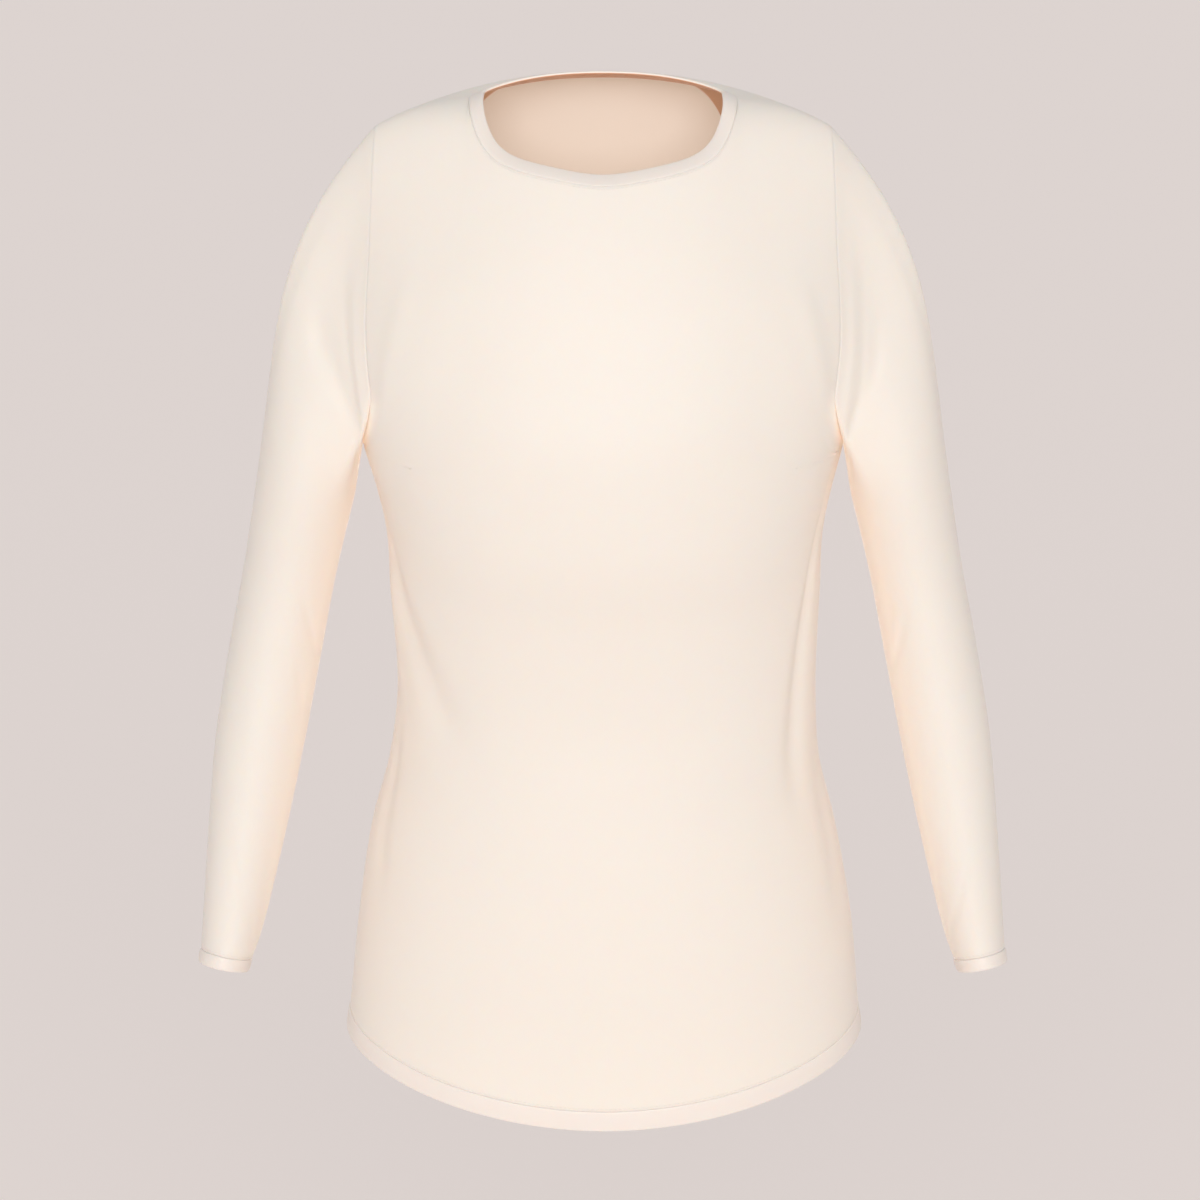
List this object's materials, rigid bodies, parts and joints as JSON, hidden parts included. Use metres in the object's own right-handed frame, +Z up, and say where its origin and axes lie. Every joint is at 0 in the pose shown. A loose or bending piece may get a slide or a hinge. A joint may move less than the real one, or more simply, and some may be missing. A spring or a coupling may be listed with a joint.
{
  "type": "long sleeve top",
  "caption": "Fitted long sleeve jersey top with a bound round neck, set-in sleeves and a curved, banded hem, held in its worn, hollow form.",
  "frame": {"origin": "midway between the two side neck points, level with the neck seam there, where the wearer's shoulders carry the top", "axes": "+Z up along the body, -Y towards the front, +X towards the wearer's left sleeve"},
  "size_m": [0.5616, 0.2448, 0.7011],
  "materials": {
    "jersey": "soft matt cream single jersey",
    "binding": "soft matt cream self-fabric band, folded and stitched"
  },
  "bodies": {
    "root": {"front": "jersey", "back": "jersey", "left_sleeve": "jersey", "right_sleeve": "jersey", "neck_band": "binding", "hem_band": "binding", "left_cuff_band": "binding", "right_cuff_band": "binding"}
  },
  "joints": []
}
